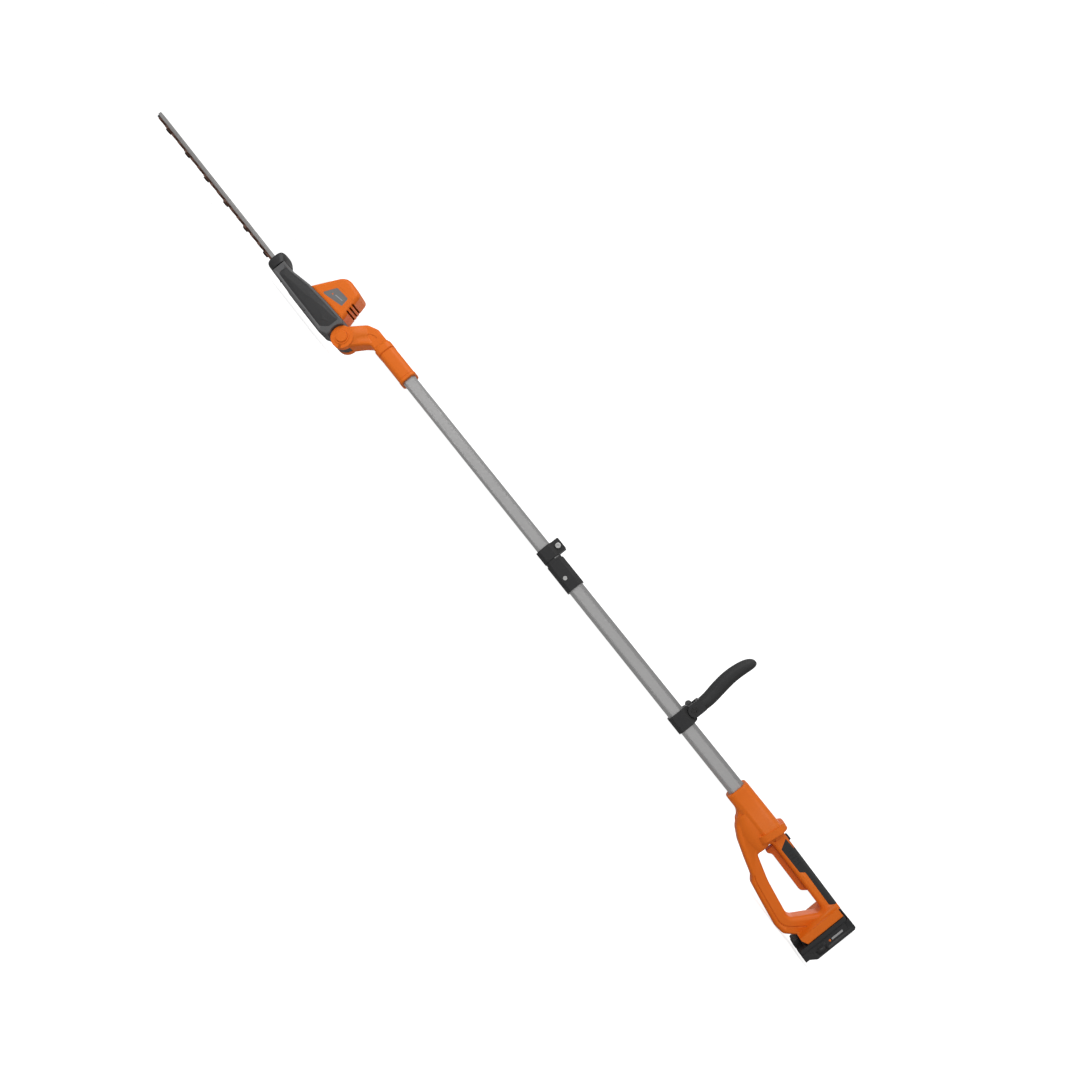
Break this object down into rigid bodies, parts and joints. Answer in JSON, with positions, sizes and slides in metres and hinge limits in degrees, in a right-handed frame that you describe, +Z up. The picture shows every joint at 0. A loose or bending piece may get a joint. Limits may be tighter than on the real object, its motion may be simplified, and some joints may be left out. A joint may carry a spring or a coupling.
{
  "type": "telescoping pole hedge trimmer",
  "caption": "Cordless telescoping pole trimmer with a tilting toothed cutting head, sliding front handle, guarded rear grip and slide-in battery.",
  "frame": {"origin": "middle of the extended tool's length, on the floor under the pole axis", "axes": "+X from the blade tip to the battery, +Z up, -Y towards the side with the clamp screw heads"},
  "size_m": [2.3442, 0.076, 0.2925],
  "materials": {
    "housing_orange": "satin moulded",
    "case_grey": "satin moulded",
    "panel_dark": "fine texture",
    "plastic_black": "fine texture",
    "rubber_dark": "soft overmould",
    "tube_aluminium": "brushed satin",
    "rail_aluminium": "satin extruded",
    "blade_steel": "ground edges",
    "fastener_steel": "zinc plated",
    "spring_steel": "bright wire",
    "label_grey": "printed film",
    "knob_grey": "satin moulded",
    "motor_steel": "zinc plated",
    "cell_wrap": "shrink wrapped cells",
    "gauge_grey": "smooth"
  },
  "bodies": {
    "pole": {"outer_tube": "tube_aluminium", "clamp_sleeve": "plastic_black", "sleeve_screws": "fastener_steel", "clamp_bolt": "fastener_steel", "cam_pin": "fastener_steel", "handle_left": "housing_orange", "handle_right": "housing_orange", "grip_pad": "rubber_dark", "handle_screws": "fastener_steel", "trigger_pin": "fastener_steel", "trigger_spring": "spring_steel", "main_switch": "plastic_black", "terminal_block": "plastic_black"},
    "clamp_lever": {"cam_lever": "plastic_black"},
    "front_clamp": {"aux_clamp": "plastic_black", "aux_bolt": "fastener_steel"},
    "front_handle": {"aux_frame": "plastic_black", "aux_grip": "rubber_dark"},
    "front_knob": {"aux_knob": "knob_grey"},
    "extension": {"inner_tube": "tube_aluminium", "inner_plug": "plastic_black", "elbow_left": "housing_orange", "elbow_right": "housing_orange", "elbow_screws": "fastener_steel", "pivot_bolt": "fastener_steel", "tilt_spring": "spring_steel"},
    "tilt_release": {"tilt_button": "housing_orange"},
    "head": {"head_lug": "case_grey", "case_left": "case_grey", "case_right": "case_grey", "case_sole": "case_grey", "side_panel_left": "panel_dark", "side_panel_right": "panel_dark", "blade_collar": "plastic_black", "support_bar": "rail_aluminium", "tip_guard": "plastic_black", "blade_bolts": "fastener_steel", "blade_nuts": "fastener_steel", "motor_cover_left": "housing_orange", "motor_cover_right": "housing_orange", "label_left": "label_grey", "label_right": "label_grey", "head_screws": "fastener_steel", "motor_can": "motor_steel", "gear_axle": "fastener_steel"},
    "rotor": {"motor_pinion": "fastener_steel"},
    "crank": {"drive_gear": "fastener_steel"},
    "blade_a": {"upper_blade": "blade_steel"},
    "blade_b": {"lower_blade": "blade_steel"},
    "trigger_lever": {"trigger": "housing_orange"},
    "lock_off": {"lock_button": "plastic_black"},
    "battery": {"battery_case": "plastic_black", "battery_frame": "plastic_black", "battery_cells": "cell_wrap", "battery_gauge": "gauge_grey", "latch_spring": "spring_steel"},
    "latch": {"battery_latch": "plastic_black"}
  },
  "joints": [
    {"name": "telescope", "type": "slide", "parent": "pole", "child": "extension", "axis": [1, 0, 0], "range_m": [0, 0.44]},
    {"name": "head_tilt", "type": "hinge", "parent": "extension", "child": "head", "pos_m": [-0.396, 0, 0.048], "axis": [0, -1, 0], "range_deg": [-12, 90]},
    {"name": "tilt_release_press", "type": "slide", "parent": "extension", "child": "tilt_release", "axis": [0, 1, 0], "range_m": [0, 0.0022], "stiffness_N_per_m": 1500, "springref_m": -0.002, "deforming": ["tilt_spring"]},
    {"name": "gear_spin", "type": "hinge", "parent": "head", "child": "crank", "pos_m": [-0.507, 0, 0.048], "axis": [0, 0, 1], "continuous": true},
    {"name": "motor_spin", "type": "hinge", "parent": "head", "child": "rotor", "pos_m": [-0.478, 0, 0.048], "axis": [0, 0, 1], "continuous": true},
    {"name": "upper_blade_slide", "type": "slide", "parent": "head", "child": "blade_a", "axis": [1, 0, 0], "range_m": [-0.005, 0.005]},
    {"name": "lower_blade_slide", "type": "slide", "parent": "head", "child": "blade_b", "axis": [1, 0, 0], "range_m": [-0.005, 0.005]},
    {"name": "trigger_pull", "type": "hinge", "parent": "pole", "child": "trigger_lever", "pos_m": [0.99, 0, 0.097], "axis": [0, -1, 0], "range_deg": [0, 4.2], "stiffness_Nm_per_rad": 3, "springref_deg": -5.73, "deforming": ["trigger_spring"]},
    {"name": "lock_off_press", "type": "slide", "parent": "pole", "child": "lock_off", "axis": [0, 0, -1], "range_m": [0, 0.0025], "stiffness_N_per_m": 800, "springref_m": -0.002},
    {"name": "clamp_lever_swing", "type": "hinge", "parent": "pole", "child": "clamp_lever", "pos_m": [0.275, 0.0192, 0.131], "axis": [1, 0, 0], "range_deg": [0, 110]},
    {"name": "front_handle_slide", "type": "slide", "parent": "pole", "child": "front_clamp", "axis": [1, 0, 0], "range_m": [-0.25, 0.12]},
    {"name": "front_handle_tilt", "type": "hinge", "parent": "front_clamp", "child": "front_handle", "pos_m": [0.7015, 0, 0.136], "axis": [0, 1, 0], "range_deg": [-25, 25]},
    {"name": "front_knob_turn", "type": "hinge", "parent": "front_clamp", "child": "front_knob", "pos_m": [0.7015, 0.026, 0.136], "axis": [0, 1, 0], "continuous": true},
    {"name": "battery_slide", "type": "slide", "parent": "pole", "child": "battery", "axis": [0, 0, -1], "range_m": [0, 0.085]},
    {"name": "latch_press", "type": "slide", "parent": "battery", "child": "latch", "axis": [1, 0, 0], "range_m": [0, 0.0022], "stiffness_N_per_m": 1000, "springref_m": -0.002, "deforming": ["latch_spring"]}
  ],
  "couplings": [
    {"joint": "motor_spin", "follows": "gear_spin", "ratio": -4.5},
    {"joint": "lower_blade_slide", "follows": "upper_blade_slide", "ratio": -1}
  ]
}
